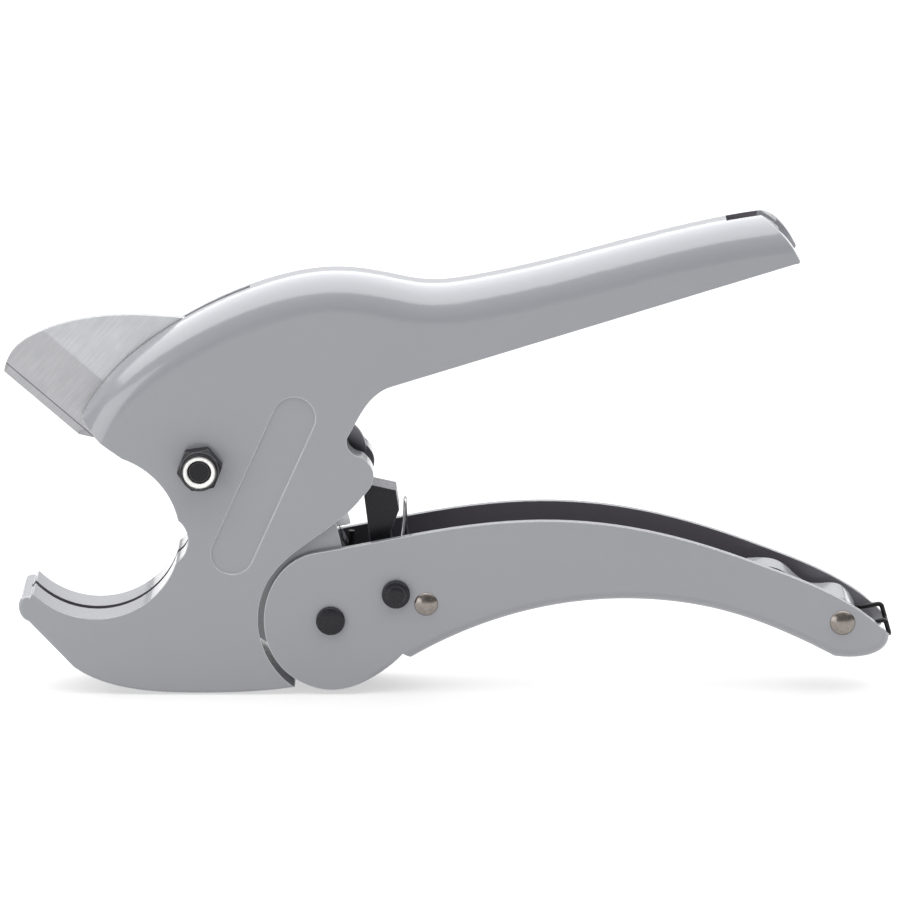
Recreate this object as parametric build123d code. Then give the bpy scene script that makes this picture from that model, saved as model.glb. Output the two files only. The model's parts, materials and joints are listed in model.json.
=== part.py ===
from build123d import *
import math
import os

# Ratchet cutter for plastic pipe, in millimetres, +Z up, +X along the handles, +Y away from the
# nut side. Every piece is drawn about the blade pivot and moved at the end, so that the origin
# is the centre of the pipe seat.

# ---- driving dimensions -------------------------------------------------------------------
body_half_width = 10.5
body_edge_radius = 9.0
body_small_edge = 0.8
recess_half_width = 8.4          # cheeks between the side plates of the lower handle
pocket_half_width = 4.7          # room for the pawl and the return spring
channel_half_width = 7.3         # hollow underside of the fixed handle
end_slot_half_width = 3.0
end_slot_start = 131.2
pipe_radius = 21.0
seat_clearance = 0.5
seat_back_relief_radius = 6.8
label_half_width = 5.4
label_depth = 0.35

blade_thickness = 2.0
blade_slot_clearance = 0.3       # each side of the blade
blade_sweep_clearance = 0.5
blade_seat_relief = 1.0          # blade set back from the bored seat
tooth_tip_radius = 41.2
tooth_root_radius = 38.4
tooth_pitch = 8.4                # degrees
tooth_count = 11
bevel_width = 2.2
edge_land = 0.2
tooth_back_share = 0.62          # part of the pitch taken by a tooth's sloping back
tooth_land = 0.9                 # degrees
tooth_undercut = 0.5
ratchet_room_extra = 1.3

bolt_radius = 3.0
bolt_head_across_flats = 10.0
bolt_head_height = 4.0
bolt_end_recess = 0.8
nut_height = 6.0
nut_collar_height = 2.0
nut_collar_radius = 4.25
nut_collar_wall = 0.5
nut_insert_depth = 1.8
nut_turn = 8.8                   # degrees
washer_radius = 6.0
washer_thickness = 1.0
washer_clearance = 0.2
blade_bush_radius = 4.5
shim_thickness = 0.15
shim_radius = 8.0
shaft_clearance = 0.05
fixed_clearance = 0.02

plate_thickness = 1.7            # lower handle
plate_gap = 0.3                  # between the cheeks and the side plates
web_start = 52.9
plate_bend_radius = 2.4
lever_pin_radius = 3.0
lever_head_radius = 3.65
lever_head_height = 1.4
lever_bush_radius = 4.3
return_coil_radius = 6.2
return_wire_radius = 0.8
return_coil_turns = 4
return_spring_room = 1.7         # around the coil
wire_overlap = 1.04              # so that neighbouring turns of a spring are one solid

pawl_half_width = 4.0
pawl_plate = 1.5
pawl_pin_radius = 2.5
pawl_head_radius = 3.55
pawl_head_height = 1.8
pawl_eye_radius = 4.3
pawl_spacer_radius = 3.1
pawl_spacer_gap = 0.15
spring_pin_radius = 2.0
spring_head_radius = 3.0
spring_head_height = 1.1
spool_radius = 2.8
pawl_wire_radius = 0.45
pawl_coil_turns = 3
pawl_coil_play = 0.2             # coil on its spool

latch_pin_radius = 2.0
latch_head_radius = 3.2
latch_head_height = 1.2
latch_side_room = 2.5            # latch lever to side plate
latch_thumb_half_width = 4.0
latch_sheet = 1.0
latch_eye_radius = 3.2
bail_wire_radius = 0.6
bail_side_room = 1.5             # middle of the bail's leg to side plate
bail_eye_wall = 1.2

# ---- places, about the blade pivot --------------------------------------------------------
seat_centre = (-26.75, -18.2)
seat_back_relief = (-10.0, -19.2)
lever_pivot = (32.4, -40.1)
pawl_pivot = (48.9, -33.1)
spring_pivot = (56.5, -35.8)
latch_pivot = (161.4, -40.7)
label_low = (7.8, -22.6)
label_high = (23.6, 12.6)
edge_tip = (-49.3, 22.0)
edge_heel = (-31.3, 6.1)
blade_nose = (-47.5, 26.9)

seat_radius = pipe_radius + seat_clearance
blade_half = blade_thickness / 2
slot_half = blade_half + blade_slot_clearance
plate_inner = recess_half_width + plate_gap
plate_outer = plate_inner + plate_thickness
blade_reach = math.hypot(*blade_nose)
pawl_coil_middle = (pawl_half_width + plate_inner) / 2
latch_half_width = plate_inner - latch_side_room
bail_half_width = plate_inner - bail_side_room
through = 2 * plate_outer + 2 * body_half_width


# ---- helpers ------------------------------------------------------------------------------
def slab(face, low_y, high_y):
    """A flat face drawn in X and Z, thickened from low_y to high_y."""
    return extrude(Plane.XZ.offset(-high_y) * face, high_y - low_y)


def both_sides(face, half):
    return slab(face, -half, half)


def disc(centre, radius):
    return Pos(*centre) * Circle(radius)


def rod(centre, radius, low_y, high_y):
    return slab(disc(centre, radius), low_y, high_y)


def tube(centre, outer, inner, low_y, high_y):
    return slab(disc(centre, outer) - disc(centre, inner), low_y, high_y)


def polar(centre, radius, degrees):
    angle = math.radians(degrees)
    return (centre[0] + radius * math.cos(angle), centre[1] + radius * math.sin(angle))


def face_of(*edges):
    return make_face(Curve() + list(edges))


def region(*points):
    return make_face(Polyline(*points, close=True))


def capsule(start, end, half_width):
    """A straight band with round ends."""
    dx = end[0] - start[0]
    dy = end[1] - start[1]
    length = math.hypot(dx, dy)
    turn = math.degrees(math.atan2(dy, dx))
    middle = ((start[0] + end[0]) / 2, (start[1] + end[1]) / 2)
    band = Pos(*middle) * Rot(0, 0, turn) * Rectangle(length, 2 * half_width)
    return band + disc(start, half_width) + disc(end, half_width)


def hexagon(centre, across_flats, turn):
    return Pos(*centre) * Rot(0, 0, turn) * RegularPolygon(across_flats / 2, 6, major_radius=False)


def rivet(centre, shank, head, height, inner_half):
    """A cross pin with a shallow round head at each side."""
    pin = rod(centre, shank, -inner_half - height, inner_half + height)
    heads = rod(centre, head, -inner_half - height, -inner_half)
    heads += rod(centre, head, inner_half, inner_half + height)
    heads = chamfer(heads.edges().filter_by(GeomType.CIRCLE).filter_by(
        lambda edge: abs(edge.center().Y) > inner_half + height / 2), height * 0.35)
    return pin + heads


# ---- outlines -----------------------------------------------------------------------------
def body_outline():
    """Side view of the casting at full width, before the seat is bored."""
    top = Spline((-29.9, 11.1), (-20.8, 23.7), (-6.1, 34.9), (12.6, 44.0), (34.9, 48.5),
                 (46.5, 47.1), (57.0, 45.3), (68.0, 46.3), (90.4, 51.3), (115.2, 57.9),
                 (131.7, 61.6), (139.6, 62.9))
    end_face = ThreePointArc((139.6, 62.9), (145.1, 58.9), (148.9, 53.3))
    end_corner = ThreePointArc((148.9, 53.3), (149.1, 52.3), (148.2, 52.0))
    under = Line((148.2, 52.0), (47.2, 20.4))
    throat = Spline((47.2, 20.4), (42.4, 16.8), (39.4, 12.2), (36.7, 7.2))
    notch = Spline((36.7, 7.2), (37.4, 4.2), (40.6, 2.4))
    bulge = Spline((40.6, 2.4), (43.4, -2.2), (40.6, -7.7))
    step = Spline((40.6, -7.7), (34.7, -13.8), (25.3, -20.8), (17.0, -29.3), (14.1, -39.7),
                  (17.0, -50.9), (23.3, -57.8))
    belly = Spline((23.3, -57.8), (13.3, -58.9), (0.0, -59.3), (-12.5, -58.9), (-20.0, -57.8),
                   (-27.5, -55.4), (-32.5, -52.5))
    toe = Line((-32.5, -52.5), (-43.7, -40.4))
    toe_tip = Spline((-43.7, -40.4), (-46.1, -37.2), (-45.8, -35.0), (-43.1, -33.9))
    mouth = Polyline((-43.1, -33.9), (-30.0, -16.0), (-19.6, 2.1), (-25.0, 6.0), (-29.9, 11.1))
    return face_of(top, end_face, end_corner, under, throat, notch, bulge, step, belly, toe,
                   toe_tip, mouth)


def lug_outline():
    """The narrower cheeks that carry the lower handle's pivot."""
    cheek = region((14.0, -24.0), (25.0, -12.0), (33.2, -12.4), (35.4, -21.6),
                   (43.6, -38.0), (40.0, -48.0), (24.0, -52.0), (13.0, -44.0))
    return cheek + disc(lever_pivot, 12.0)


def channel_outline():
    """Hollow underside of the fixed handle."""
    roof = Spline((48.0, 40.6), (57.0, 40.3), (68.0, 41.6), (90.4, 46.6), (131.7, 57.0),
                  (152.0, 61.8))
    return face_of(roof, Polyline((152.0, 61.8), (160.0, 40.0), (60.0, 10.0), (48.0, 17.0),
                                  (48.0, 40.6)))


def blade_outline():
    """Hooked blade with its ratchet sector, fully open."""
    back = Spline(edge_tip, (-48.9, 24.0), blade_nose, (-45.0, 29.6), (-40.0, 32.5),
                  (-25.6, 36.3), (-11.7, 36.6), (0.0, 35.6), (16.0, 32.6), (30.0, 20.6),
                  (37.6, 8.6))
    lobe = Spline((37.6, 8.6), (41.0, 4.4), (40.9, 0.4), (39.6, -0.6))
    teeth = []
    last = (39.6, -0.6)
    for index in range(tooth_count):
        tip_angle = -8.0 - index * tooth_pitch
        root_angle = tip_angle + tooth_back_share * tooth_pitch
        root = polar((0, 0), tooth_root_radius, root_angle)
        tip = polar((0, 0), tooth_tip_radius, tip_angle)
        under_tip = polar((0, 0), tooth_tip_radius - tooth_undercut, tip_angle - tooth_land)
        teeth += [Line(last, root), Line(root, tip), Line(tip, under_tip)]
        last = under_tip
    relief_radius = seat_radius + blade_seat_relief
    hub_side = polar(seat_centre, relief_radius, 34.0)
    mouth_side = (-19.2, edge_heel[1] - 2.7)
    tail = Polyline(last, (-1.6, -38.5), (-1.6, -16.0), (-6.6, -9.6), hub_side)
    relief = ThreePointArc(hub_side, polar(seat_centre, relief_radius, 52.0), mouth_side)
    heel = Polyline(mouth_side, (-29.2, 5.6), edge_heel, edge_tip)
    return face_of(back, lobe, *teeth, tail, relief, heel)


def lower_handle_outline():
    top = Spline((28.2, -22.6), (42.6, -19.9), (59.9, -16.6), (78.5, -14.4), (100.0, -14.9),
                 (125.0, -20.2), (144.1, -27.0), (163.3, -36.0), (173.4, -44.2))
    nose = Spline((173.4, -44.2), (172.3, -47.4), (166.5, -50.1), (159.5, -50.0))
    under = Spline((159.5, -50.0), (147.3, -43.9), (131.4, -38.1), (115.0, -35.3),
                   (100.0, -35.2), (84.8, -37.4), (68.2, -42.6), (web_start, -50.2))
    step = Line((web_start, -50.2), (50.6, -48.9))
    eye = Spline((50.6, -48.9), (44.0, -54.5), (32.0, -58.4), (19.7, -52.1), (15.6, -40.1),
                 (19.8, -27.8), (28.2, -22.6))
    return face_of(top, nose, under, step, eye)


def lower_channel_outline():
    """Space between the side plates, above the web of the lower handle and past its end."""
    floor = Spline((web_start, -48.2), (68.2, -40.7), (84.8, -35.6), (100.0, -33.5),
                   (115.0, -33.6), (131.4, -36.4), (147.3, -42.2), (159.9, -48.1),
                   (166.2, -48.6), (171.0, -47.0))
    rest = Polyline((171.0, -47.0), (171.4, -53.0), (180.0, -53.0), (180.0, -30.0), (100.0, 5.0), (5.0, 5.0), (5.0, -70.0),
                    (web_start, -70.0), (web_start, -48.2))
    return face_of(floor, rest)


def pawl_outline():
    head = region((40.9, -9.5), (42.6, -6.4), (48.9, -7.8), (49.7, -13.0), (47.6, -18.5),
                  (48.0, -24.0), (52.2, -30.2), (45.0, -31.5), (42.4, -21.7))
    return head + disc(pawl_pivot, pawl_eye_radius)


# ---- pieces -------------------------------------------------------------------------------
def make_body():
    head = both_sides(body_outline(), body_half_width)
    outer = head.edges().filter_by(lambda edge: abs(abs(edge.center().Y) - body_half_width) < 0.01)
    crown = outer.filter_by(lambda edge: edge.length > 150 and edge.center().Z > 30
                            and edge.geom_type != GeomType.LINE)
    head = fillet(crown, body_edge_radius)
    outer = head.edges().filter_by(lambda edge: abs(abs(edge.center().Y) - body_half_width) < 0.01)
    belly = outer.filter_by(lambda edge: edge.center().Z < -35 and edge.center().X < 10)
    head = fillet(belly, body_small_edge)
    lug = both_sides(lug_outline(), recess_half_width)
    solid = head + lug
    blade_room = blade_reach + blade_sweep_clearance
    sweep = disc((0, 0), blade_room) & region((0, 0), (0, 80), (-90, 80), (-90, -90),
                                              (-9, -90))
    ratchet_room = disc((0, 0), tooth_tip_radius + blade_sweep_clearance + ratchet_room_extra)
    crown_slot = region((-14, 20), (12.6, 20), (12.6, 60), (-14, 60))
    solid -= both_sides(sweep + ratchet_room + crown_slot, slot_half)
    pocket = region((36.0, 8.0), (50.0, 8.0), (50.0, -52.0), (36.0, -52.0))
    spring_room = disc(lever_pivot, return_coil_radius + return_wire_radius + return_spring_room)
    solid -= both_sides(pocket + spring_room, pocket_half_width)
    solid -= both_sides(channel_outline(), channel_half_width)
    end_slot = region((end_slot_start, 50), (160, 50), (160, 80), (end_slot_start, 80))
    solid -= both_sides(end_slot, end_slot_half_width)
    solid -= rod(seat_centre, seat_radius, -through, through)
    solid -= rod(seat_back_relief, seat_back_relief_radius, -through, through)
    solid -= rod((0, 0), bolt_radius + shaft_clearance, -through, through)
    solid -= rod(lever_pivot, lever_bush_radius + fixed_clearance, -through, through)
    label = capsule(label_low, label_high, label_half_width)
    solid -= slab(label, -body_half_width - 1, -body_half_width + label_depth)
    return solid


def make_blade():
    plate = both_sides(blade_outline(), blade_half)
    plate -= rod((0, 0), blade_bush_radius + shaft_clearance, -through, through)
    along = Vector(edge_heel[0] - edge_tip[0], 0, edge_heel[1] - edge_tip[1]).normalized()
    middle = Vector((edge_heel[0] + edge_tip[0]) / 2, 0, (edge_heel[1] + edge_tip[1]) / 2)
    length = math.dist(edge_heel, edge_tip)
    across = Vector(0, 1, 0)
    frame = Plane(origin=middle, x_dir=across, z_dir=along)
    inward = 1 if frame.y_dir.dot(Vector(0, 0, 0) - middle) > 0 else -1
    for side in (-1, 1):
        wedge = region((side * edge_land / 2, 0), (side * blade_half, inward * bevel_width),
                       (side * 3, inward * bevel_width), (side * 3, -inward * 2),
                       (side * edge_land / 2, -inward * 2))
        plate -= frame * extrude(wedge, length / 2 + 0.3, both=True)
    return plate


def make_pivot_bolt():
    near_end = -body_half_width - nut_height + bolt_end_recess
    far_face = body_half_width + washer_thickness
    shank = rod((0, 0), bolt_radius, near_end, far_face)
    shank = chamfer(shank.edges().sort_by(Axis.Y)[0], 0.5)
    head = slab(hexagon((0, 0), bolt_head_across_flats, 0), far_face,
                far_face + bolt_head_height)
    round_top = rod((0, 0), bolt_head_across_flats * 0.57, far_face,
                    far_face + bolt_head_height)
    round_top = chamfer(round_top.edges().sort_by(Axis.Y)[-1], 0.6)
    return shank + (head & round_top)


def make_lock_nut():
    near = -body_half_width - nut_height
    flats_end = near + nut_collar_height
    hexagon_part = slab(hexagon((0, 0), bolt_head_across_flats, nut_turn), flats_end,
                        -body_half_width)
    cone = rod((0, 0), bolt_head_across_flats * 0.575, flats_end, -body_half_width)
    cone = chamfer(cone.edges().sort_by(Axis.Y)[0], 0.9)
    collar = rod((0, 0), nut_collar_radius + nut_collar_wall, near, flats_end + nut_collar_wall)
    collar = fillet(collar.edges().sort_by(Axis.Y)[0], 0.4)
    nut = (hexagon_part & cone) + collar
    nut -= rod((0, 0), nut_collar_radius, near - 1, near + nut_insert_depth)
    return nut - rod((0, 0), bolt_radius + fixed_clearance, near - 1, 0)


def make_nylon_insert():
    near = -body_half_width - nut_height
    return tube((0, 0), nut_collar_radius - fixed_clearance, bolt_radius + fixed_clearance,
                near + 0.1, near + nut_insert_depth)


def make_lower_handle():
    outline = lower_handle_outline()
    channel = both_sides(outline, plate_outer)
    lower_edges = channel.edges().filter_by(
        lambda edge: abs(abs(edge.center().Y) - plate_outer) < 0.01
        and edge.center().X > web_start + 20 and edge.center().Z < -32)
    channel = fillet(lower_edges, plate_bend_radius)
    channel -= both_sides(lower_channel_outline(), plate_inner)
    channel -= rod(lever_pivot, lever_pin_radius + fixed_clearance, -through, through)
    channel -= rod(pawl_pivot, pawl_pin_radius + fixed_clearance, -through, through)
    channel -= rod(spring_pivot, spring_pin_radius + fixed_clearance, -through, through)
    channel -= rod(latch_pivot, latch_pin_radius + fixed_clearance, -through, through)
    return channel


def make_pawl():
    plates = both_sides(pawl_outline(), pawl_half_width)
    plates -= both_sides(region((30, 0), (60, 0), (60, -50), (30, -50)),
                         pawl_half_width - pawl_plate)
    web = region((42.6, -6.4), (48.9, -7.8), (49.7, -13.0), (48.4, -13.1), (47.5, -9.1),
                 (42.6, -8.0))
    plates += both_sides(web, pawl_half_width)
    return plates - rod(pawl_pivot, pawl_pin_radius + shaft_clearance, -through, through)


def coil(centre, radius, wire_radius, turns, low_y, high_y):
    """Close-wound turns about a cross axis, drawn as one grooved ring."""
    step = (high_y - low_y) / turns
    ring = None
    for index in range(turns):
        middle = low_y + step * (index + 0.5)
        core = Plane.XZ.offset(-middle) * disc(centre, radius)
        path = core.wires()[0]
        start = path @ 0
        section = Plane(origin=start, z_dir=path % 0) * Circle(wire_radius)
        turn = sweep(section, path=path)
        ring = turn if ring is None else ring + turn
    return ring


def wire(points, wire_radius, bend):
    """A round wire bent along straight runs."""
    path = FilletPolyline(*points, radius=bend)
    section = Plane(origin=path @ 0, z_dir=path % 0) * Circle(wire_radius)
    return sweep(section, path=path)


def make_return_spring():
    half = return_wire_radius * return_coil_turns
    coils = coil(lever_pivot, return_coil_radius, return_wire_radius * wire_overlap, return_coil_turns,
                 -half, half)
    leg_y = half - return_wire_radius
    x, z = lever_pivot
    body_leg = wire([(x + return_coil_radius, leg_y, z), (x + return_coil_radius, leg_y, z + 8),
                     (x + 5.0, leg_y, z + 20.0)], return_wire_radius, 6.0)
    handle_leg = wire([(x, -leg_y, z - return_coil_radius), (x + 12, -leg_y, z - 7.4),
                       (x + 26.0, -leg_y, z - 3.4)], return_wire_radius, 9.0)
    return coils + body_leg + handle_leg


def make_pawl_spring():
    solid = None
    x, z = spring_pivot
    mean = spool_radius + pawl_wire_radius + pawl_coil_play
    coil_half = pawl_coil_turns * pawl_wire_radius
    for side in (-1, 1):
        low = side * pawl_coil_middle - coil_half
        turns = coil((x, z), mean, pawl_wire_radius * wire_overlap, pawl_coil_turns, low,
                     low + 2 * coil_half)
        solid = turns if solid is None else solid + turns
    inner = pawl_coil_middle - coil_half + pawl_wire_radius
    outer = pawl_coil_middle + coil_half - pawl_wire_radius
    loop = wire([(x - mean, -inner, z), (51.0, -inner, -20.0), (51.2, -2.4, -11.2),
                 (51.2, 2.4, -11.2), (51.0, inner, -20.0), (x - mean, inner, z)],
                pawl_wire_radius, 1.2)
    solid += loop
    for side in (-1, 1):
        solid += wire([(x + mean, side * outer, z), (x + mean, side * outer, z + 4.0),
                       (x + 9.0, side * outer, z + 9.0)], pawl_wire_radius, 1.5)
    return solid


def wavy_profile():
    """Centre line of the latch lever's sheet."""
    return Spline((137.9, -28.3), (141.0, -28.2), (144.5, -28.6), (147.4, -30.2),
                  (150.3, -33.0), (155.3, -35.6), (160.9, -35.7), (163.6, -37.9),
                  (164.9, -40.3))


def make_latch_lever():
    sheet = both_sides(trace(wavy_profile(), latch_sheet), latch_half_width)
    thumb = latch_thumb_half_width
    wide = latch_half_width
    plan = region((130.0, -thumb), (150.0, -thumb), (155.3, -wide), (170.0, -wide),
                  (170.0, wide), (155.3, wide), (150.0, thumb), (130.0, thumb))
    sheet &= extrude(Pos(0, 0, -60) * plan, 60)
    ear = disc(latch_pivot, latch_eye_radius) + region((157.0, -36.0), (161.0, -36.0),
                                                       (162.9, -37.2), (164.3, -41.0),
                                                       (158.6, -41.6))
    ears = slab(ear, -latch_half_width, -latch_half_width + latch_sheet)
    ears += slab(ear, latch_half_width - latch_sheet, latch_half_width)
    lever = sheet + ears
    return lever - rod(latch_pivot, latch_pin_radius + shaft_clearance, -through, through)


def make_latch_wire():
    """Wire bail with an eye at each end, turning on the latch rivet."""
    x, z = latch_pivot
    elbow = (167.6, -41.7)
    corner = (172.4, -40.8)
    toe = (173.5, -44.6)
    eye_middle = latch_pin_radius + shaft_clearance + bail_eye_wall / 2
    y = bail_half_width
    start = (x + eye_middle, z - 0.6)
    path = [(start[0], -y, start[1]), (elbow[0], -y, elbow[1]), (corner[0], -y, corner[1]),
            (toe[0], -y, toe[1]), (toe[0], y, toe[1]), (corner[0], y, corner[1]),
            (elbow[0], y, elbow[1]), (start[0], y, start[1])]
    bail = wire(path, bail_wire_radius, 1.0)
    hole = latch_pin_radius + shaft_clearance
    for side in (-1, 1):
        low = side * y - bail_eye_wall / 2
        bail += tube(latch_pivot, hole + bail_eye_wall, hole, low, low + bail_eye_wall)
    return bail - rod(latch_pivot, hole, -through, through)


def build_parts():
    shim_low = blade_half + (blade_slot_clearance - shim_thickness) / 2
    shim_hole = blade_bush_radius + fixed_clearance
    spool_half = plate_inner - fixed_clearance
    spacer_low = pawl_half_width + pawl_spacer_gap
    parts = {}
    parts["body_casting"] = make_body()
    parts["blade"] = make_blade()
    parts["pivot_bolt"] = make_pivot_bolt()
    parts["lock_nut"] = make_lock_nut()
    parts["nut_nylon_insert"] = make_nylon_insert()
    parts["bolt_washer"] = tube((0, 0), washer_radius, bolt_radius + washer_clearance, body_half_width,
                                body_half_width + washer_thickness)
    parts["blade_bush"] = tube((0, 0), blade_bush_radius, bolt_radius + fixed_clearance,
                               -slot_half + fixed_clearance, slot_half - fixed_clearance)
    parts["blade_shim_near"] = tube((0, 0), shim_radius, shim_hole, -shim_low - shim_thickness,
                                    -shim_low)
    parts["blade_shim_far"] = tube((0, 0), shim_radius, shim_hole, shim_low,
                                   shim_low + shim_thickness)
    parts["lower_handle"] = make_lower_handle()
    parts["lever_pivot_rivet"] = rivet(lever_pivot, lever_pin_radius, lever_head_radius,
                                       lever_head_height, plate_outer)
    parts["lever_pivot_bush"] = tube(lever_pivot, lever_bush_radius,
                                     lever_pin_radius + shaft_clearance, -recess_half_width,
                                     recess_half_width)
    parts["return_spring"] = make_return_spring()
    parts["drive_pawl"] = make_pawl()
    parts["pawl_rivet"] = rivet(pawl_pivot, pawl_pin_radius, pawl_head_radius,
                                pawl_head_height, plate_outer)
    parts["pawl_spacer_near"] = tube(pawl_pivot, pawl_spacer_radius,
                                     pawl_pin_radius + fixed_clearance, -spool_half,
                                     -spacer_low)
    parts["pawl_spacer_far"] = tube(pawl_pivot, pawl_spacer_radius,
                                    pawl_pin_radius + fixed_clearance, spacer_low, spool_half)
    parts["pawl_spring"] = make_pawl_spring()
    parts["spring_rivet"] = rivet(spring_pivot, spring_pin_radius, spring_head_radius,
                                  spring_head_height, plate_outer)
    parts["spring_spool"] = tube(spring_pivot, spool_radius,
                                 spring_pin_radius + fixed_clearance, -spool_half, spool_half)
    parts["latch_lever"] = make_latch_lever()
    parts["latch_rivet"] = rivet(latch_pivot, latch_pin_radius, latch_head_radius,
                                 latch_head_height, plate_outer)
    parts["latch_wire"] = make_latch_wire()
    return parts


to_seat = Pos(-seat_centre[0], 0, -seat_centre[1])
os.makedirs("parts", exist_ok=True)
for name, shape in build_parts().items():
    export_step(to_seat * shape, f"parts/{name}.step")
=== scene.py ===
import bmesh
import bpy
import json
import math
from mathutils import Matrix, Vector


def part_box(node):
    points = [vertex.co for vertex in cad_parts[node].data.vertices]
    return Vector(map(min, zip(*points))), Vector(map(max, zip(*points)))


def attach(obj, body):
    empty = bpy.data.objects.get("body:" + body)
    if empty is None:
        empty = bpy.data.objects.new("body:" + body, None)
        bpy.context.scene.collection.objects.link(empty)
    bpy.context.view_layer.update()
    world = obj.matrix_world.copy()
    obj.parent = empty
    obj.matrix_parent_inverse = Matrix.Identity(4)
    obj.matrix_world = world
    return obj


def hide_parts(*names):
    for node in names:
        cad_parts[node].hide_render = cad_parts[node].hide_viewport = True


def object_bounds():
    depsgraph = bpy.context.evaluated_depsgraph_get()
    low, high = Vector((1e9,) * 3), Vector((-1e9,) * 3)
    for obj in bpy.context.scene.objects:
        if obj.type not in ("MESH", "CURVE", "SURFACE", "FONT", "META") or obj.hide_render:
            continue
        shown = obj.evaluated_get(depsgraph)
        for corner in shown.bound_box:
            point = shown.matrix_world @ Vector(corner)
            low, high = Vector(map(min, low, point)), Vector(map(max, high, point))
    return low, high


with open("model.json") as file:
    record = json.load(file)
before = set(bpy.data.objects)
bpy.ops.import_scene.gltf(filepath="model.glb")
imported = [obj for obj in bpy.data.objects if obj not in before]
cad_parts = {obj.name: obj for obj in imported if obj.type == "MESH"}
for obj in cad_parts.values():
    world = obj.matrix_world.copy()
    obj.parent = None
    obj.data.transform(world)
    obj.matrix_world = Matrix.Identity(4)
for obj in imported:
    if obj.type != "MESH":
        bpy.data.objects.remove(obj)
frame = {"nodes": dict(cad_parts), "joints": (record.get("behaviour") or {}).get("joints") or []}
nodes = frame["nodes"]
joints = {joint["name"]: joint for joint in frame["joints"]}
cad_box = [list(corner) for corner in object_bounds()]


# ---- Studio -------------------------------------------------------------------------------
# The tool stands upright on a white table, seen square on from a little above with a long lens.
# One large softbox hangs overhead and the room in front is dim, so tops shine and sides are grey.
MM = 0.001
BLADE_PIVOT = Vector(joints["blade_swing"]["pos_m"])
VIEW_ELEVATION = math.radians(15)
VIEW_DISTANCE = 1400 * MM
LENS_MM = 224
SENSOR_MM = 36
AIM_RIGHT = 62.5 * MM
AIM_UP = 4.25 * MM

look = Vector((0, math.cos(VIEW_ELEVATION), -math.sin(VIEW_ELEVATION)))
up = Vector((0, math.sin(VIEW_ELEVATION), math.cos(VIEW_ELEVATION)))
near_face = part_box("body_casting")[0].y
aim = Vector((BLADE_PIVOT.x + AIM_RIGHT, near_face, BLADE_PIVOT.z)) + up * AIM_UP
camera_data = bpy.data.cameras.new("camera")
camera_data.lens = LENS_MM
camera_data.sensor_width = SENSOR_MM
camera = bpy.data.objects.new("camera", camera_data)
camera.location = aim - look * VIEW_DISTANCE
camera.rotation_euler = look.to_track_quat("-Z", "Y").to_euler()
bpy.context.scene.collection.objects.link(camera)
bpy.context.scene.camera = camera
bpy.context.scene.view_settings.view_transform = "Standard"


def unit_colour(hex_text):
    """An sRGB hex colour as linear RGBA."""
    channels = [int(hex_text[i:i + 2], 16) / 255 for i in (1, 3, 5)]
    linear = [c / 12.92 if c <= 0.04045 else ((c + 0.055) / 1.055) ** 2.4 for c in channels]
    return (*linear, 1.0)


def new_material(name, settings):
    """A material and its shader, with the values that are the same all over the surface."""
    material = bpy.data.materials.new(name)
    material.use_nodes = True
    shader = material.node_tree.nodes["Principled BSDF"]
    for socket, value in settings.items():
        shader.inputs[socket].default_value = value
    return material, shader


def add_light(name, size_x, size_y, power, place, target):
    """A rectangular soft light at a place, turned towards its target."""
    data = bpy.data.lights.new(name, "AREA")
    data.shape = "RECTANGLE"
    data.size = size_x
    data.size_y = size_y
    data.energy = power
    lamp = bpy.data.objects.new(name, data)
    lamp.location = place
    lamp.rotation_euler = (Vector(target) - Vector(place)).to_track_quat("-Z", "Y").to_euler()
    bpy.context.scene.collection.objects.link(lamp)


ROOM_LIGHT = 0.26
world = bpy.data.worlds.new("dim_room")
world.use_nodes = True
room = world.node_tree.nodes["Background"]
room.inputs["Color"].default_value = (1, 1, 1, 1)
room.inputs["Strength"].default_value = ROOM_LIGHT
bpy.context.scene.world = world

# The table glows a little, which keeps it white under the tool too.
TABLE_HALF = 4.0
TABLE_GAP = 0.4 * MM
TABLE_GLOW = 0.55
table_mesh = bmesh.new()
bmesh.ops.create_grid(table_mesh, x_segments=1, y_segments=1, size=TABLE_HALF)
bmesh.ops.translate(table_mesh, verts=table_mesh.verts, vec=(0, 0, cad_box[0][2] - TABLE_GAP))
table_data = bpy.data.meshes.new("floor")
table_mesh.to_mesh(table_data)
table = bpy.data.objects.new("floor", table_data)
bpy.context.scene.collection.objects.link(table)
table_settings = {"Base Color": unit_colour("#A0A0A0"), "Roughness": 0.9,
                  "Emission Color": (1, 1, 1, 1), "Emission Strength": TABLE_GLOW}
table_data.materials.append(new_material("white_table", table_settings)[0])

# The front edge of the softbox stands 55 degrees above the horizon, seen from the tool. The fill
# stands low on the left in front, and the backdrop glows behind.
TOOL_MIDDLE = 0.09
SOFTBOX_WIDTH = 3.4
SOFTBOX_HEIGHT = 1.0
SOFTBOX_FRONT = SOFTBOX_HEIGHT / math.tan(math.radians(55))
SOFTBOX_BACK = 1.9
SOFTBOX_POWER = 80
FILL_SIZE = 1.0
FILL_POWER = 7
BACKDROP_WIDTH = 3.0
BACKDROP_HEIGHT = 1.2
BACKDROP_POWER = 6
softbox_middle = (SOFTBOX_BACK - SOFTBOX_FRONT) / 2
add_light("overhead_softbox", SOFTBOX_WIDTH, SOFTBOX_BACK + SOFTBOX_FRONT, SOFTBOX_POWER,
          (TOOL_MIDDLE, softbox_middle, SOFTBOX_HEIGHT), (TOOL_MIDDLE, softbox_middle, 0))
add_light("left_fill", FILL_SIZE, FILL_SIZE, FILL_POWER, (-0.9, -0.7, 0.0), (-0.02, 0, -0.04))
add_light("backdrop_glow", BACKDROP_WIDTH, BACKDROP_HEIGHT, BACKDROP_POWER,
          (TOOL_MIDDLE, 1.7, 0.65), (TOOL_MIDDLE, 0, 0))


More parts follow.
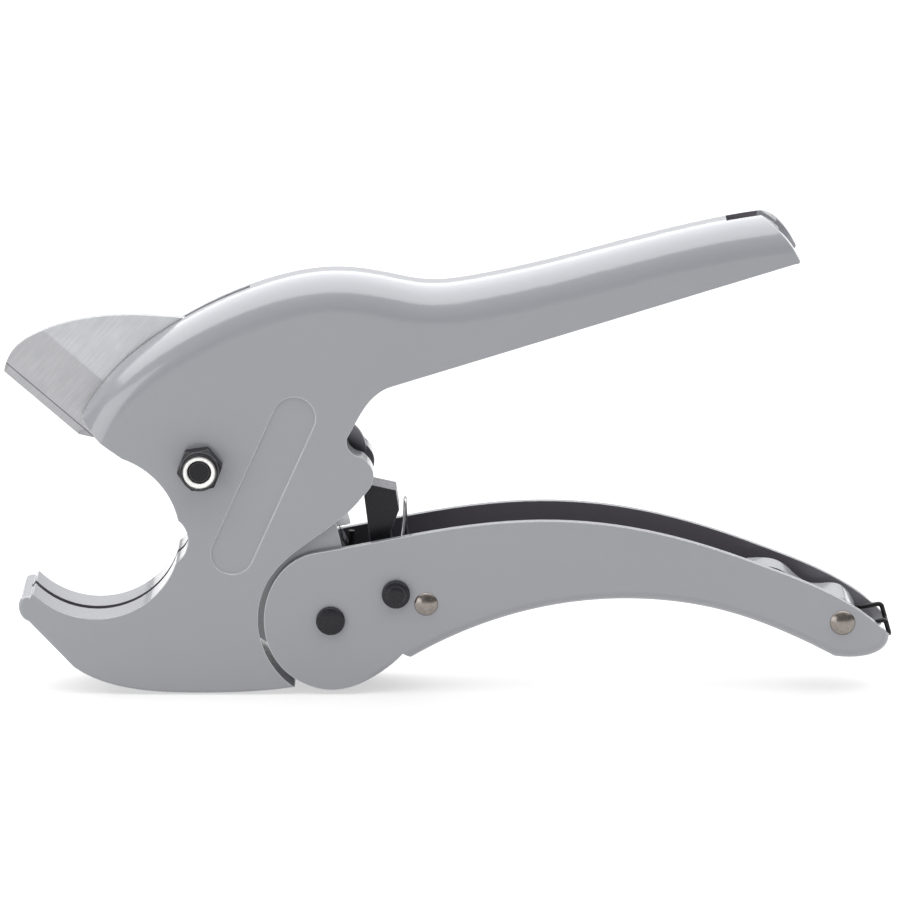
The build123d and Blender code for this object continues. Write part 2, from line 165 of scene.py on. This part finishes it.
# ---- Painted casting ----------------------------------------------------------------------
# Aluminium die casting, sprayed with one thick coat of glossy silver-grey enamel. The coat levels
# out to a soft orange peel. Its sharp edges are painted lighter as a highlight, and the walls of
# its slots and pockets and the hollow under the handle are painted dark as shade.
PAINT = "#8D8E93"
# Dark inside colour: painted shade in the casting's slots, pockets and hollow; bare steel inside
# the lower handle's channel; the darker cut edges and underside of the latch lever.
BARE_AND_SHADED_INSIDE = "#5A575E"
# Light colour painted along the sharp edges of the enamel as a highlight.
PAINT_EDGE_HIGHLIGHT = "#C9CACE"
CLOUD_WIDTH = 30 * MM
PEEL_WIDTH = 1.6 * MM
PEEL_DEPTH = 0.02 * MM
EDGE_ROUND = 0.45 * MM
HOLLOW_HALF = 7.35 * MM
HOLLOW_START = BLADE_PIVOT.x + 48 * MM
# Past this X the casting's slot walls get no painted shade.
SHADE_STOPS_AT_X = BLADE_PIVOT.x + 139 * MM
CROWN_SLOT_FROM = BLADE_PIVOT.z + 30 * MM
SIDE_FACING = 0.9
HOLLOW_FACING = 0.3


def add_node(material, kind, settings=None, links=None):
    """One shader node, with its own settings, its input values and what is linked to them."""
    node = material.node_tree.nodes.new(kind)
    for name, value in (settings or {}).items():
        if isinstance(name, int) or name in node.inputs.keys():
            node.inputs[name].default_value = value
        else:
            setattr(node, name, value)
    for name, source in (links or {}).items():
        material.node_tree.links.new(source, node.inputs[name])
    return node


def join(material, source, shader, socket):
    material.node_tree.links.new(source, shader.inputs[socket])


def compare(material, kind, source, limit):
    """1 where the source is on the wanted side of the limit, else 0."""
    return add_node(material, "ShaderNodeMath", {"operation": kind, 1: limit},
                    {0: source}).outputs[0]


def combine(material, kind, first, second):
    """Two numbers made one, such as MULTIPLY for both and MAXIMUM for either."""
    return add_node(material, "ShaderNodeMath", {"operation": kind},
                    {0: first, 1: second}).outputs[0]


def absolute(material, source):
    """How far the source is from 0, on either side."""
    return add_node(material, "ShaderNodeMath", {"operation": "ABSOLUTE"},
                    {0: source}).outputs[0]


def place_and_normal(material):
    """The texture coordinates, and the place and the normal of the surface in X, Y and Z."""
    place = add_node(material, "ShaderNodeTexCoord")
    at = add_node(material, "ShaderNodeSeparateXYZ", None, {"Vector": place.outputs["Object"]})
    facing = add_node(material, "ShaderNodeSeparateXYZ", None,
                      {"Vector": place.outputs["Normal"]})
    return place, at, facing


def edge_rounding_and_highlight(material, radius):
    """The rounded normal at sharp edges, and 1 along the edges themselves, where a painted
    highlight goes.
    """
    soft = add_node(material, "ShaderNodeBevel", {"samples": 6, "Radius": radius})
    true = add_node(material, "ShaderNodeNewGeometry")
    same = add_node(material, "ShaderNodeVectorMath", {"operation": "DOT_PRODUCT"},
                    {0: soft.outputs["Normal"], 1: true.outputs["Normal"]})
    edge = add_node(material, "ShaderNodeMapRange",
                    {"From Min": 0.99, "From Max": 0.88}, {"Value": same.outputs["Value"]})
    return soft, edge.outputs["Result"]


def enamel(name, inside_mask):
    """Glossy grey enamel, lighter at sharp edges as a painted highlight, and dark where
    inside_mask says 1.
    """
    material, shader = new_material(name, {"IOR": 1.5, "Coat Weight": 0.6,
                                           "Coat Roughness": 0.06, "Metallic": 0.0})
    place, at, facing = place_and_normal(material)
    mask = inside_mask(material, at, facing)
    cloud = add_node(material, "ShaderNodeTexNoise", {"Scale": 1 / CLOUD_WIDTH, "Detail": 3.0},
                     {"Vector": place.outputs["Object"]})
    shade = add_node(material, "ShaderNodeMapRange", {"To Min": 0.97, "To Max": 1.03},
                     {"Value": cloud.outputs["Fac"]})
    paint = add_node(material, "ShaderNodeMix",
                     {"data_type": "RGBA", "blend_type": "MULTIPLY", 0: 1.0,
                      6: unit_colour(PAINT)}, {7: shade.outputs["Result"]})
    # Sharp edges are rounded in shading and painted lighter as a highlight.
    soft_edge, edge = edge_rounding_and_highlight(material, EDGE_ROUND)
    lit_edges = add_node(material, "ShaderNodeMix", {"data_type": "RGBA", 7: unit_colour(PAINT_EDGE_HIGHLIGHT)},
                    {0: edge, 6: paint.outputs[2]})
    coat = add_node(material, "ShaderNodeMix", {"data_type": "RGBA", 7: unit_colour(BARE_AND_SHADED_INSIDE)},
                    {0: mask, 6: lit_edges.outputs[2]})
    join(material, coat.outputs[2], shader, "Base Color")
    rough = add_node(material, "ShaderNodeMapRange", {"To Min": 0.22, "To Max": 0.5},
                     {"Value": mask})
    join(material, rough.outputs["Result"], shader, "Roughness")
    peel = add_node(material, "ShaderNodeTexNoise",
                    {"Scale": 1 / PEEL_WIDTH, "Detail": 1.0, "Roughness": 0.4},
                    {"Vector": place.outputs["Object"]})
    bump = add_node(material, "ShaderNodeBump", {"Strength": 0.25, "Distance": PEEL_DEPTH},
                    {"Height": peel.outputs["Fac"], "Normal": soft_edge.outputs["Normal"]})
    join(material, bump.outputs["Normal"], shader, "Normal")
    return material


def casting_painted_shade(material, at, facing):
    """Where painted shade goes: the walls of the slots and pockets, and the hollow under the fixed
    handle, but not at the far end of the handle nor high in the crown slot.
    """
    deep = compare(material, "LESS_THAN", absolute(material, at.outputs["Y"]), HOLLOW_HALF)
    wall = compare(material, "GREATER_THAN", absolute(material, facing.outputs["Y"]),
                   SIDE_FACING)
    under = compare(material, "LESS_THAN", facing.outputs["Z"], HOLLOW_FACING)
    handle = compare(material, "GREATER_THAN", at.outputs["X"], HOLLOW_START)
    hollow = combine(material, "MULTIPLY", under, handle)
    recessed = combine(material, "MULTIPLY", deep, combine(material, "MAXIMUM", wall, hollow))
    # The painted shade stops at the end of the handle and high up in the crown slot.
    inward = compare(material, "LESS_THAN", at.outputs["X"], SHADE_STOPS_AT_X)
    low = compare(material, "LESS_THAN", at.outputs["Z"], CROWN_SLOT_FROM)
    shade_reaches = combine(material, "MULTIPLY", inward, combine(material, "MAXIMUM", low, handle))
    return combine(material, "MULTIPLY", recessed, shade_reaches)


def dress(names, material):
    """Gives CAD nodes their material."""
    for name in names:
        mesh = nodes[name].data
        mesh.materials.clear()
        mesh.materials.append(material)


dress(["body_casting"], enamel("enamelled_die_casting", casting_painted_shade))


# ---- Lower handle -------------------------------------------------------------------------
# Channel pressed from 1.7 mm steel strip. The outside has the same enamel, sprayed from below,
# and inside it is bare and dark, growing lighter towards the nose.
SHEET_INSIDE_HALF = 8.75 * MM
# Between these places the dark inside fades lighter towards the nose.
INSIDE_LIGHTENS_FROM = BLADE_PIVOT.x + 150 * MM
INSIDE_LIGHTENS_TO = BLADE_PIVOT.x + 172 * MM
DARK_SHARE_AT_NOSE = 0.25
WEB_FACING = 0.2


def sheet_inside(material, at, facing):
    """The inner faces of the side plates and of the web between them."""
    deep = compare(material, "LESS_THAN", absolute(material, at.outputs["Y"]),
                   SHEET_INSIDE_HALF)
    wall = compare(material, "GREATER_THAN", absolute(material, facing.outputs["Y"]),
                   SIDE_FACING)
    web = compare(material, "GREATER_THAN", facing.outputs["Z"], WEB_FACING)
    # The dark inside fades towards the nose.
    nose_fade = add_node(material, "ShaderNodeMapRange",
                     {"From Min": INSIDE_LIGHTENS_FROM, "From Max": INSIDE_LIGHTENS_TO,
                      "To Min": 1.0, "To Max": DARK_SHARE_AT_NOSE}, {"Value": at.outputs["X"]})
    inside = combine(material, "MULTIPLY", deep, combine(material, "MAXIMUM", wall, web))
    return combine(material, "MULTIPLY", inside, nose_fade.outputs["Result"])


dress(["lower_handle"], enamel("enamelled_steel_strip", sheet_inside))


# ---- Blade --------------------------------------------------------------------------------
# Hardened tool steel, 2 mm thick. Both flats are ground, coarser in a wide band along the
# edge, and a bevel is ground on last. The ratchet end, in shade between the cheeks, is painted
# dark as shade.
EDGE_TIP = BLADE_PIVOT + Vector((-49.3, 0, 22.0)) * MM
EDGE_HEEL = BLADE_PIVOT + Vector((-31.3, 0, 6.1)) * MM
BEVEL_WIDTH = 2.2 * MM
BEVEL_LINE_INSIDE = 0.05 * MM
BEVEL_LINE_OUTSIDE = 0.22 * MM
COARSE_BAND = 14.5 * MM
COARSE_FADE = 0.6 * MM
SCRATCH_WIDTH = 0.35 * MM
SCRATCH_LENGTH = 9 * MM
SCRATCH_DEPTH = 0.02 * MM
BLOTCH_WIDTH = 4 * MM
BLADE_EDGE_ROUND = 0.12 * MM
# Behind and above this point the blade's ratchet end is painted dark as shade.
TAIL_SHADE_FROM = BLADE_PIVOT + Vector((31.0, 0, -4.0)) * MM
COARSE_STEEL = "#BABABD"
FINE_STEEL = "#C4C5C8"
# Painted shade colour for the ratchet end.
BLADE_TAIL_SHADE = "#77767B"
along_edge = (EDGE_HEEL - EDGE_TIP).normalized()
from_edge = Vector((-along_edge.z, 0, along_edge.x))


def shade_between(material, source, low, high):
    """A noise as a shade: the darkest spots are multiplied by low and the lightest by high."""
    return add_node(material, "ShaderNodeMapRange",
                    {"From Min": 0.3, "From Max": 0.7, "To Min": low, "To Max": high},
                    {"Value": source}).outputs["Result"]


def darker_where(material, mask, shade):
    """The shade where the mask is 1, and 1 elsewhere."""
    return add_node(material, "ShaderNodeMapRange", {"To Min": 1.0, "To Max": shade},
                    {"Value": mask}).outputs["Result"]


def depth_from_edge(material, place):
    """How far a point of the blade lies from its cutting edge."""
    along = add_node(material, "ShaderNodeVectorMath",
                     {"operation": "DOT_PRODUCT", 1: tuple(from_edge)},
                     {0: place.outputs["Object"]}).outputs["Value"]
    return add_node(material, "ShaderNodeMath",
                    {"operation": "SUBTRACT", 1: from_edge.dot(EDGE_TIP)},
                    {0: along}).outputs[0]


def grinding_scratches(material, place):
    """Fine scratches that run from the edge up the blade."""
    turn = math.atan2(along_edge.z, along_edge.x)
    lay = add_node(material, "ShaderNodeMapping",
                   {"vector_type": "TEXTURE", "Rotation": (0, -turn, 0),
                    "Scale": (SCRATCH_WIDTH, 1.0, SCRATCH_LENGTH)},
                   {"Vector": place.outputs["Object"]})
    return add_node(material, "ShaderNodeTexNoise", {"Scale": 1.0, "Detail": 4.0},
                    {"Vector": lay.outputs["Vector"]}).outputs["Fac"]


def ground_blade():
    """Ground steel with its coarse band, bevel and bevel line, and painted shade on the ratchet
    end.
    """
    material, shader = new_material("ground_tool_steel", {"Metallic": 1.0})
    place, at, facing = place_and_normal(material)
    depth = depth_from_edge(material, place)
    scratch = grinding_scratches(material, place)
    blotch = add_node(material, "ShaderNodeTexNoise", {"Scale": 1 / BLOTCH_WIDTH, "Detail": 4.0},
                      {"Vector": place.outputs["Object"]})
    fine = add_node(material, "ShaderNodeMapRange",
                    {"From Min": COARSE_BAND, "From Max": COARSE_BAND + COARSE_FADE},
                    {"Value": depth}).outputs["Result"]
    steel = add_node(material, "ShaderNodeMix",
                     {"data_type": "RGBA", 6: unit_colour(COARSE_STEEL),
                      7: unit_colour(FINE_STEEL)}, {0: fine})
    line = combine(material, "MULTIPLY",
                   compare(material, "GREATER_THAN", depth, BEVEL_WIDTH - BEVEL_LINE_INSIDE),
                   compare(material, "LESS_THAN", depth, BEVEL_WIDTH + BEVEL_LINE_OUTSIDE))
    bevel = compare(material, "LESS_THAN", depth, BEVEL_WIDTH)
    marks = combine(material, "MULTIPLY", shade_between(material, scratch, 0.9, 1.04),
                    shade_between(material, blotch.outputs["Fac"], 0.95, 1.04))
    marks = combine(material, "MULTIPLY", marks, darker_where(material, line, 0.35))
    marks = combine(material, "MULTIPLY", marks, darker_where(material, bevel, 0.82))
    ground = add_node(material, "ShaderNodeMix",
                      {"data_type": "RGBA", "blend_type": "MULTIPLY", 0: 1.0},
                      {6: steel.outputs[2], 7: marks})
    # The ratchet end gets the painted shade.
    tail_shade = combine(material, "MULTIPLY",
                    compare(material, "GREATER_THAN", at.outputs["X"], TAIL_SHADE_FROM.x),
                    compare(material, "GREATER_THAN", at.outputs["Z"], TAIL_SHADE_FROM.z))
    colour = add_node(material, "ShaderNodeMix",
                      {"data_type": "RGBA", 7: unit_colour(BLADE_TAIL_SHADE)},
                      {0: tail_shade, 6: ground.outputs[2]})
    join(material, colour.outputs[2], shader, "Base Color")
    rough = add_node(material, "ShaderNodeMapRange", {"To Min": 0.5, "To Max": 0.36},
                     {"Value": fine})
    join(material, rough.outputs["Result"], shader, "Roughness")
    soft_edge = add_node(material, "ShaderNodeBevel", {"samples": 4, "Radius": BLADE_EDGE_ROUND})
    bump = add_node(material, "ShaderNodeBump", {"Strength": 0.35, "Distance": SCRATCH_DEPTH},
                    {"Height": scratch, "Normal": soft_edge.outputs["Normal"]})
    join(material, bump.outputs["Normal"], shader, "Normal")
    return material


dress(["blade"], ground_blade())


# ---- Pivot bolt and lock nut --------------------------------------------------------------
# Machine screw and nylon lock nut, M6, blackened by a hot oxide bath that leaves a thin oily
# satin skin. The corners of the hexagons are painted lighter as a highlight.
METAL_EDGE_ROUND = 0.2 * MM
METAL_GRAIN_DEPTH = 0.05 * MM
BLACKENED_GLOSS = 0.22
# Lighter grey painted along the sharp edges of blackened steel as a highlight.
STEEL_EDGE_HIGHLIGHT = "#8A8A8E"


def plain_metal(name, colour, rough, grain, strength, edge_light=None, blackened=False,
                edge=METAL_EDGE_ROUND):
    """Metal with an even finish: grain is the size of its texture, edge what is rounded off.
    Blackened metal is hidden under its oxide, and where a lighter edge colour is given, it is
    painted along the edges as a highlight."""
    finish = {"Specular IOR Level": BLACKENED_GLOSS} if blackened else {"Metallic": 1.0}
    material, shader = new_material(name, finish)
    place = add_node(material, "ShaderNodeTexCoord")
    noise = add_node(material, "ShaderNodeTexNoise", {"Scale": 1 / grain, "Detail": 4.0},
                     {"Vector": place.outputs["Object"]}).outputs["Fac"]
    tint = add_node(material, "ShaderNodeMix",
                    {"data_type": "RGBA", "blend_type": "MULTIPLY", 0: 1.0,
                     6: unit_colour(colour)}, {7: shade_between(material, noise, 0.88, 1.12)})
    # The edge mask carries the painted highlight colour, when one is given.
    soft_edge, lit_edges = edge_rounding_and_highlight(material, edge)
    skin = add_node(material, "ShaderNodeMix",
                    {"data_type": "RGBA", 7: unit_colour(edge_light or colour)},
                    {0: lit_edges, 6: tint.outputs[2]})
    join(material, skin.outputs[2], shader, "Base Color")
    polish = shade_between(material, noise, rough * 0.85, rough * 1.2)
    join(material, polish, shader, "Roughness")
    bump = add_node(material, "ShaderNodeBump",
                    {"Strength": strength, "Distance": METAL_GRAIN_DEPTH},
                    {"Height": noise, "Normal": soft_edge.outputs["Normal"]})
    join(material, bump.outputs["Normal"], shader, "Normal")
    return material


black_oxide = plain_metal("black_oxide_steel", "#1D1C1F", 0.3, 0.5 * MM, 0.15,
                          edge_light=STEEL_EDGE_HIGHLIGHT, blackened=True, edge=0.22 * MM)
dress(["pivot_bolt", "lock_nut"], black_oxide)


# ---- Nylon ring of the lock nut -----------------------------------------------------------
# Undyed nylon 6, moulded and rolled into the nut's collar: white, a little waxy, and rounded
# on the side that shows.
THREAD_RADIUS = 3.02 * MM
NYLON_GRAIN = 0.4 * MM
NYLON_GRAIN_DEPTH = 0.02 * MM
NYLON_DEPTH = 1 * MM
SHARP_ANGLE = math.radians(35)
MERGE_DISTANCE = 0.001 * MM


def moulded_nylon():
    """White nylon with a faint moulded grain."""
    material, shader = new_material(
        "white_nylon", {"Base Color": unit_colour("#F2F1EE"), "Roughness": 0.35, "IOR": 1.53,
                        "Subsurface Weight": 0.2,
                        "Subsurface Radius": (NYLON_DEPTH, NYLON_DEPTH, NYLON_DEPTH)})
    place = add_node(material, "ShaderNodeTexCoord")
    grain = add_node(material, "ShaderNodeTexNoise", {"Scale": 1 / NYLON_GRAIN, "Detail": 2.0},
                     {"Vector": place.outputs["Object"]})
    bump = add_node(material, "ShaderNodeBump", {"Strength": 0.1, "Distance": NYLON_GRAIN_DEPTH},
                    {"Height": grain.outputs["Fac"]})
    join(material, bump.outputs["Normal"], shader, "Normal")
    return material


def new_piece(name, mesh, material, body, slot, *replaced):
    """Finishes a bmesh as a piece of the object, smooth except at sharp corners."""
    bmesh.ops.remove_doubles(mesh, verts=mesh.verts, dist=MERGE_DISTANCE)
    bmesh.ops.recalc_face_normals(mesh, faces=mesh.faces)
    data = bpy.data.meshes.new(name)
    mesh.to_mesh(data)
    mesh.free()
    data.materials.append(material)
    piece = bpy.data.objects.new(name, data)
    bpy.context.scene.collection.objects.link(piece)
    data.shade_smooth()
    data.set_sharp_from_angle(angle=SHARP_ANGLE)
    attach(piece, body)
    if replaced:
        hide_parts(*replaced)


def turned(profile, centre, steps=96):
    """A closed (radius, Y) outline spun about the cross axis through the centre."""
    mesh = bmesh.new()
    ring = [mesh.verts.new((centre.x + r, y, centre.z)) for r, y in profile]
    edges = [mesh.edges.new((ring[i], ring[(i + 1) % len(ring)])) for i in range(len(ring))]
    bmesh.ops.spin(mesh, geom=ring + edges, cent=(centre.x, 0, centre.z), axis=(0, 1, 0),
                   angle=math.tau, steps=steps, use_merge=True)
    return mesh


def arc(centre_r, centre_y, radius, start, end, count):
    """Points of a round stretch of a profile, angles in degrees from +r towards +Y."""
    points = []
    for i in range(count + 1):
        angle = math.radians(start + (end - start) * i / count)
        points.append((centre_r + radius * math.cos(angle), centre_y + radius * math.sin(angle)))
    return points


ring_low, ring_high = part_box("nut_nylon_insert")
ring_outer = (ring_high.x - ring_low.x) / 2
ring_round = (ring_outer - THREAD_RADIUS) / 2
ring_middle = (ring_outer + THREAD_RADIUS) / 2
ring_profile = arc(ring_middle, ring_low.y + ring_round, ring_round, 180, 360, 12)
ring_profile += [(ring_outer, ring_high.y), (THREAD_RADIUS, ring_high.y)]
new_piece("nylon_ring", turned(ring_profile, BLADE_PIVOT), moulded_nylon(), "casting",
          "white_nylon", "nut_nylon_insert")


# ---- Washer, bushes, shims, spacers and spool ---------------------------------------------
# Small turned and stamped parts of plain steel, zinc plated or left bright. Each one spaces a
# moving part or is a sleeve on its pin.
bright_steel = plain_metal("bright_turned_steel", "#B9B9BC", 0.3, 0.3 * MM, 0.1)
dress(["bolt_washer", "blade_bush", "blade_shim_near", "blade_shim_far", "lever_pivot_bush",
       "pawl_spacer_near", "pawl_spacer_far", "spring_spool"], bright_steel)


# ---- Rivets -------------------------------------------------------------------------------
# Steel cross pins with a head formed at each side. The two that carry load are blackened with
# low pan heads, one of them ring-punched, and the two small ones are nickel plated and domed.
HEAD_EDGE = 0.5 * MM
HEAD_CROWN = 0.25 * MM
PUNCH_SHARE = 0.62
AXIS_RADIUS = 0.0001 * MM
# The blackened heads get a lighter grey painted along their edges as a highlight.
blackened = plain_metal("blackened_rivet_steel", "#242327", 0.25, 0.6 * MM, 0.4,
                        edge_light="#55555A", blackened=True)
nickel = plain_metal("nickel_plated_rivet", "#8C8580", 0.24, 1.0 * MM, 0.3)


def pan_profile(radius, seat, top, shank, punched):
    """Half outline of a pan-headed pin, from the middle of its shank to the far head's centre."""
    rim = arc(radius - HEAD_EDGE, top - HEAD_CROWN - HEAD_EDGE, HEAD_EDGE, 0, 80, 6)
    outline = [(shank, 0.0), (shank, seat), (radius, seat)] + rim
    if punched:
        punch = radius * PUNCH_SHARE
        outline += [(punch + 0.25 * MM, top - 0.06 * MM), (punch, top - 0.22 * MM),
                    (punch - 0.3 * MM, top - 0.05 * MM), (punch * 0.5, top)]
    return outline + [(radius * 0.3, top), (AXIS_RADIUS, top)]


def dome_profile(radius, seat, top, shank):
    """Half outline of a round-headed pin, whose heads are caps of a ball."""
    height = top - seat
    ball = (radius ** 2 + height ** 2) / (2 * height)
    start = math.degrees(math.asin((ball - height) / ball))
    return [(shank, 0.0), (shank, seat)] + arc(0, top - ball, ball, start, 89.99, 12)


def both_heads(half):
    """The other half of a rivet is the same, mirrored."""
    return half + [(r, -y) for r, y in reversed(half)][:-1]


plate_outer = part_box("lower_handle")[1].y
for node, finish, slot, shank, head in [
        ("lever_pivot_rivet", blackened, "black_steel", 3.0 * MM, "pan"),
        ("pawl_rivet", blackened, "black_steel", 2.5 * MM, "punched"),
        ("spring_rivet", nickel, "nickel_steel", 2.0 * MM, "dome"),
        ("latch_rivet", nickel, "nickel_steel", 2.0 * MM, "dome")]:
    low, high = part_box(node)
    head_radius = (high.x - low.x) / 2
    if head == "dome":
        half = dome_profile(head_radius, plate_outer, high.y, shank)
    else:
        half = pan_profile(head_radius, plate_outer, high.y, shank, head == "punched")
    new_piece(node + "_formed", turned(both_heads(half), (low + high) / 2), finish,
              "lower_handle", slot, node)


# ---- Return spring ------------------------------------------------------------------------
# Round wire, oil tempered and dark, cold wound round the lever pivot. The short leg leans on
# the casting, and the long one lies in the channel and turns with the handle.
LEVER_PIVOT = Vector(joints["handle_squeeze"]["pos_m"])
RETURN_COIL = 6.2 * MM
RETURN_WIRE = 1.6 * MM
RETURN_LEG_Y = 2.4
HANDLE_STROKE_DEGREES = 31
oil_tempered = plain_metal("oil_tempered_wire", "#2E2D30", 0.35, 1.0 * MM, 0.1,
                           blackened=True)


def wire_piece(name, points, diameter, material, body, slot, *replaced):
    """A round wire along smooth points, made a mesh."""
    curve = bpy.data.curves.new(name, "CURVE")
    curve.dimensions = "3D"
    curve.bevel_depth = diameter / 2
    curve.bevel_resolution = 4
    curve.use_fill_caps = True
    curve.resolution_u = 6
    spline = curve.splines.new("NURBS")
    spline.points.add(len(points) - 1)
    for point, place in zip(spline.points, points):
        point.co = (*place, 1.0)
    spline.order_u = 3
    spline.use_endpoint_u = True
    maker = bpy.data.objects.new(name + "_path", curve)
    bpy.context.scene.collection.objects.link(maker)
    evaluated = maker.evaluated_get(bpy.context.evaluated_depsgraph_get())
    mesh = bmesh.new()
    mesh.from_mesh(bpy.data.meshes.new_from_object(evaluated))
    bpy.data.objects.remove(maker)
    new_piece(name, mesh, material, body, slot, *replaced)


def coil_points(centre, radius, start, turns, first_y, last_y, per_turn=16):
    """Turns of wire about the cross axis, from first_y to last_y, clockwise from the near side."""
    count = round(turns * per_turn)
    points = []
    for i in range(count + 1):
        angle = math.radians(start) - math.tau * turns * i / count
        y = first_y + (last_y - first_y) * i / count
        points.append(Vector((centre.x + radius * math.cos(angle), y,
                              centre.z + radius * math.sin(angle))))
    return points


def route_from(pivot, y, places):
    """Points given in mm right of and above a pivot, all at the same Y."""
    return [Vector((pivot.x + right * MM, y * MM, pivot.z + above * MM))
            for right, above in places]


coil_path = coil_points(LEVER_PIVOT, RETURN_COIL, -90, 3.5, -RETURN_LEG_Y * MM, RETURN_LEG_Y * MM)
coil_path += route_from(LEVER_PIVOT, RETURN_LEG_Y, [(2.5, 6.2), (4.6, 7.4), (5.0, 12), (5.2, 20)])
wire_piece("return_spring_coil", coil_path, RETURN_WIRE, oil_tempered, "casting",
           "spring_steel", "return_spring")

# The long leg goes on round the coil for as far as the handle turns, so that the wire stays
# whole over the whole stroke.
leg_path = route_from(LEVER_PIVOT, -RETURN_LEG_Y,
                      [(26, -3.4), (20, -5.2), (14, -6.6), (7, -6.3), (2, -6.25)])
leg_path += coil_points(LEVER_PIVOT, RETURN_COIL, -90, HANDLE_STROKE_DEGREES / 360,
                        -RETURN_LEG_Y * MM, -RETURN_LEG_Y * MM, per_turn=48)
wire_piece("return_spring_leg", leg_path, RETURN_WIRE, oil_tempered, "lower_handle",
           "spring_steel")


# ---- Pawl spring --------------------------------------------------------------------------
# Bright music wire, cold wound from both ends on to the spring rivet's spool. Its middle stands
# up as a loop that bears on the back of the pawl.
PAWL_COIL = 3.45 * MM
PAWL_WIRE = 0.9 * MM
COIL_OUTER_Y = 7.1
COIL_INNER_Y = 5.4
LEG_HEIGHTS = [3.0, 10.0, 15.0, 18.0, 21.5, 23.8, 24.6]
LEG_OUT = [5.4, 5.4, 5.3, 4.4, 2.9, 2.5, 2.0]
NEAR_LEAN = [-3.6, -5.0, -6.2, -5.8, -5.4, -5.3, -5.3]
FAR_LEAN = [-3.6, -4.2, -5.0, -5.2, -5.3, -5.3, -5.3]
music_wire = plain_metal("music_wire", "#A9A9AC", 0.3, 1.0 * MM, 0.1)
spring_low, spring_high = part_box("spring_rivet")
spring_pivot = (spring_low + spring_high) / 2


def spring_half(side, lean):
    """Foot, coil and leg on one side: lean is the leg's place behind the rivet at each height."""
    foot = [(5.5, 7.0), (4.6, 5.6), (3.45, 4.0), (3.45, 1.5)]
    points = route_from(spring_pivot, side * COIL_OUTER_Y, foot)
    points += coil_points(spring_pivot, PAWL_COIL, 0, 2.5, side * COIL_OUTER_Y * MM,
                          side * COIL_INNER_Y * MM)
    for out, place in zip(LEG_OUT, zip(lean, LEG_HEIGHTS)):
        points += route_from(spring_pivot, side * out, [place])
    return points


pawl_path = spring_half(-1, NEAR_LEAN) + spring_half(1, FAR_LEAN)[::-1]
wire_piece("pawl_spring_wire", pawl_path, PAWL_WIRE, music_wire, "lower_handle",
           "spring_steel", "pawl_spring")


# ---- Drive pawl ---------------------------------------------------------------------------
# Folded from 1.5 mm spring steel and blackened. Everything that faces up is painted grey as light
# from above, and the edges are painted lighter as a highlight.
# Grey painted on the pawl's upward faces as light from above.
PAWL_TOP_LIGHT = "#808085"
LIT_FACING = 0.6


def pawl_with_top_light():
    """Blackened steel, with grey painted on what faces up as light from above."""
    material = plain_metal("blackened_pawl_steel", "#1F1E22", 0.28, 1.5 * MM, 0.1,
                           edge_light=STEEL_EDGE_HIGHLIGHT, blackened=True, edge=0.3 * MM)
    shader = material.node_tree.nodes["Principled BSDF"]
    skin = shader.inputs["Base Color"].links[0].from_socket
    facing = place_and_normal(material)[2]
    # Faces turned up get the painted top light.
    lit_top = compare(material, "GREATER_THAN", facing.outputs["Z"], LIT_FACING)
    top_lit = add_node(material, "ShaderNodeMix",
                        {"data_type": "RGBA", 7: unit_colour(PAWL_TOP_LIGHT)}, {0: lit_top, 6: skin})
    join(material, top_lit.outputs[2], shader, "Base Color")
    return material


dress(["drive_pawl"], pawl_with_top_light())


# ---- Latch --------------------------------------------------------------------------------
# Wavy thumb lever blanked from enamelled sheet, with its cut edges and its underside darker, and a
# bail of thin black wire that turns on the same rivet.
CUT_EDGE_FACING = 0.8
UNDERSIDE_FACING = -0.3


def latch_inside(material, at, facing):
    """The cut edges and the underside of the sheet."""
    side = compare(material, "GREATER_THAN", absolute(material, facing.outputs["Y"]),
                   CUT_EDGE_FACING)
    under = compare(material, "LESS_THAN", facing.outputs["Z"], UNDERSIDE_FACING)
    return combine(material, "MAXIMUM", side, under)


dress(["latch_lever"], enamel("enamelled_latch_sheet", latch_inside))
dress(["latch_wire"], plain_metal("black_wire", "#1B1B1D", 0.3, 0.5 * MM, 0.1, blackened=True))
